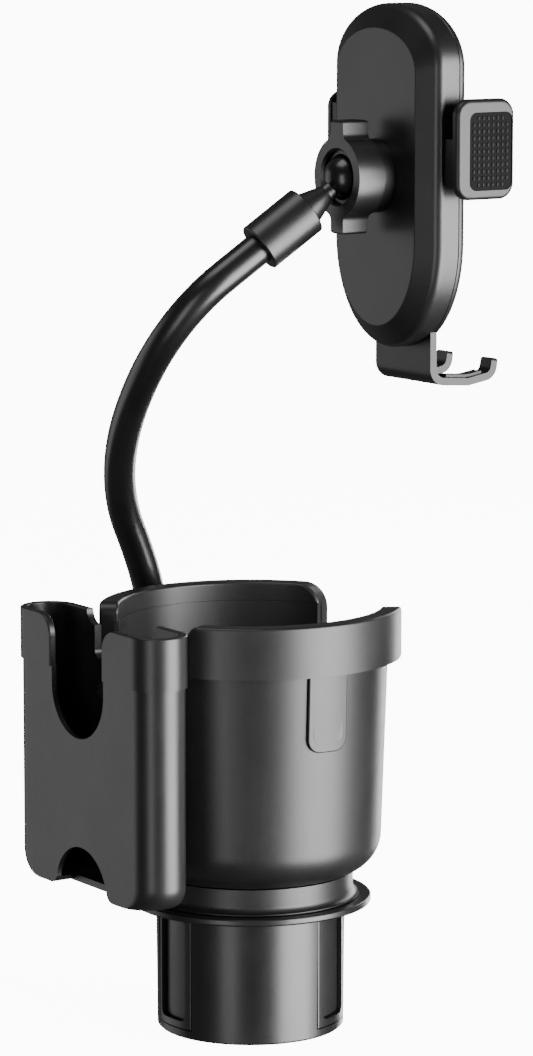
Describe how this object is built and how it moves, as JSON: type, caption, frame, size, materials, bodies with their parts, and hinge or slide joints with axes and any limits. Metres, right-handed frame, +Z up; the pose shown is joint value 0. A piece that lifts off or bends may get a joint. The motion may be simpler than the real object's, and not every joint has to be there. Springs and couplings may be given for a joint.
{
  "type": "car phone mount",
  "caption": "Cup-holder expander with a storage pocket and a bendable neck that carries a ball-jointed phone cradle with clamping side arms and a hooked foot.",
  "frame": {"origin": "centre of the base's underside, on the axis of the base and cup", "axes": "+Z up along the cup's axis, -Y towards the user (the side the phone faces), +Y towards the storage pocket, +X towards the neck's bracket"},
  "size_m": [0.1395, 0.1604, 0.3792],
  "materials": {
    "shell_plastic": "satin moulded",
    "cup_plastic": "satin moulded",
    "pocket_plastic": "fine matte",
    "arm_plastic": "satin moulded",
    "liner_plastic": "smooth black acetal",
    "gear_plastic": "natural acetal",
    "neck_rubber": "smooth satin",
    "soft_rubber": "matte",
    "steel": "plain turned"
  },
  "bodies": {
    "base": {"base_core": "cup_plastic", "base_flange": "cup_plastic", "base_screws": "steel", "glide_ring": "gear_plastic"},
    "claw_a": {"claw_a": "cup_plastic", "claw_panel_a": "soft_rubber"},
    "claw_b": {"claw_b": "cup_plastic", "claw_panel_b": "soft_rubber"},
    "claw_c": {"claw_c": "cup_plastic", "claw_panel_c": "soft_rubber"},
    "cup": {"cup_body": "cup_plastic", "neck_ring": "cup_plastic", "cup_screws": "steel", "cup_mat": "soft_rubber", "cam_disc": "gear_plastic", "drive_bolt": "steel", "collar_neck_side": "cup_plastic", "collar_tab_side": "cup_plastic", "slot_cover": "cup_plastic", "pocket_body": "pocket_plastic", "pocket_lip": "pocket_plastic", "pocket_bracket": "cup_plastic", "pocket_screws": "steel", "neck_bracket": "cup_plastic", "set_screw": "steel", "neck_jacket_lower": "neck_rubber", "neck_core_lower": "steel"},
    "neck_middle": {"neck_jacket_middle": "neck_rubber", "neck_core_middle": "steel"},
    "neck_upper": {"neck_jacket_upper": "neck_rubber", "neck_core_upper": "steel", "sleeve": "shell_plastic", "ball_stud": "shell_plastic"},
    "ball": {"ball": "shell_plastic"},
    "liner": {"socket_liner": "liner_plastic"},
    "cradle": {"ball_socket": "shell_plastic", "cradle_back": "shell_plastic", "cradle_front": "shell_plastic", "front_pad": "soft_rubber", "shell_screws": "steel", "socket_screw": "steel", "arm_spring": "steel"},
    "clamp_nut": {"clamp_nut": "shell_plastic"},
    "pinion": {"pinion": "gear_plastic"},
    "arm_left": {"arm_left": "arm_plastic", "arm_inset_left": "soft_rubber", "arm_pad_left": "soft_rubber"},
    "arm_right": {"arm_right": "arm_plastic", "arm_inset_right": "soft_rubber", "arm_pad_right": "soft_rubber"},
    "foot": {"foot": "arm_plastic", "foot_pads": "soft_rubber"}
  },
  "joints": [
    {"name": "cup_turn", "type": "hinge", "parent": "base", "child": "cup", "pos_m": [0, 0, 0.0498], "axis": [0, 0, 1], "range_deg": [0, 90]},
    {"name": "claw_a_slide", "type": "slide", "parent": "base", "child": "claw_a", "axis": [0, 1, 0], "range_m": [0, 0.009]},
    {"name": "claw_b_slide", "type": "slide", "parent": "base", "child": "claw_b", "axis": [-0.866, -0.5, 0], "range_m": [0, 0.009]},
    {"name": "claw_c_slide", "type": "slide", "parent": "base", "child": "claw_c", "axis": [0.866, -0.5, 0], "range_m": [0, 0.009]},
    {"name": "neck_bend_low", "type": "hinge", "parent": "cup", "child": "neck_middle", "pos_m": [0.06265, 0.01345, 0.18], "axis": [0.917, 0.3989, 0], "range_deg": [-14, 14]},
    {"name": "neck_bend_high", "type": "hinge", "parent": "neck_middle", "child": "neck_upper", "pos_m": [0.02653, 0.03337, 0.23433], "axis": [0.2091, 0.9779, 0], "range_deg": [-14, 14]},
    {"name": "ball_roll", "type": "hinge", "parent": "neck_upper", "child": "ball", "pos_m": [-0.0195, -0.0295, 0.3165], "axis": [0.179, 0.788, -0.589], "range_deg": [-25, 25]},
    {"name": "ball_swing", "type": "hinge", "parent": "ball", "child": "liner", "pos_m": [-0.0195, -0.0295, 0.3165], "axis": [0.9568, 0, 0.2908], "range_deg": [-70, 3]},
    {"name": "cradle_spin", "type": "hinge", "parent": "liner", "child": "cradle", "pos_m": [-0.0195, -0.0295, 0.3165], "axis": [0, 1, 0], "continuous": true},
    {"name": "nut_turn", "type": "hinge", "parent": "cradle", "child": "clamp_nut", "pos_m": [-0.0195, -0.0295, 0.3165], "axis": [0, 1, 0], "range_deg": [-60, 60]},
    {"name": "arm_left_slide", "type": "slide", "parent": "cradle", "child": "arm_left", "axis": [1, 0, 0], "range_m": [0, 0.014], "stiffness_N_per_m": 120, "springref_m": -0.02},
    {"name": "arm_right_slide", "type": "slide", "parent": "cradle", "child": "arm_right", "axis": [-1, 0, 0], "range_m": [0, 0.014]},
    {"name": "pinion_spin", "type": "hinge", "parent": "cradle", "child": "pinion", "pos_m": [-0.0195, -0.051, 0.3275], "axis": [0, 1, 0], "range_deg": [0, 128]},
    {"name": "foot_slide", "type": "slide", "parent": "cradle", "child": "foot", "axis": [0, 0, -1], "range_m": [0, 0.015]}
  ],
  "couplings": [
    {"joint": "claw_a_slide", "follows": "cup_turn", "m_per_rad": 0.005729},
    {"joint": "claw_b_slide", "follows": "cup_turn", "m_per_rad": 0.005729},
    {"joint": "claw_c_slide", "follows": "cup_turn", "m_per_rad": 0.005729},
    {"joint": "arm_right_slide", "follows": "arm_left_slide", "ratio": 1},
    {"joint": "pinion_spin", "follows": "arm_left_slide", "rad_per_m": 158.73}
  ]
}
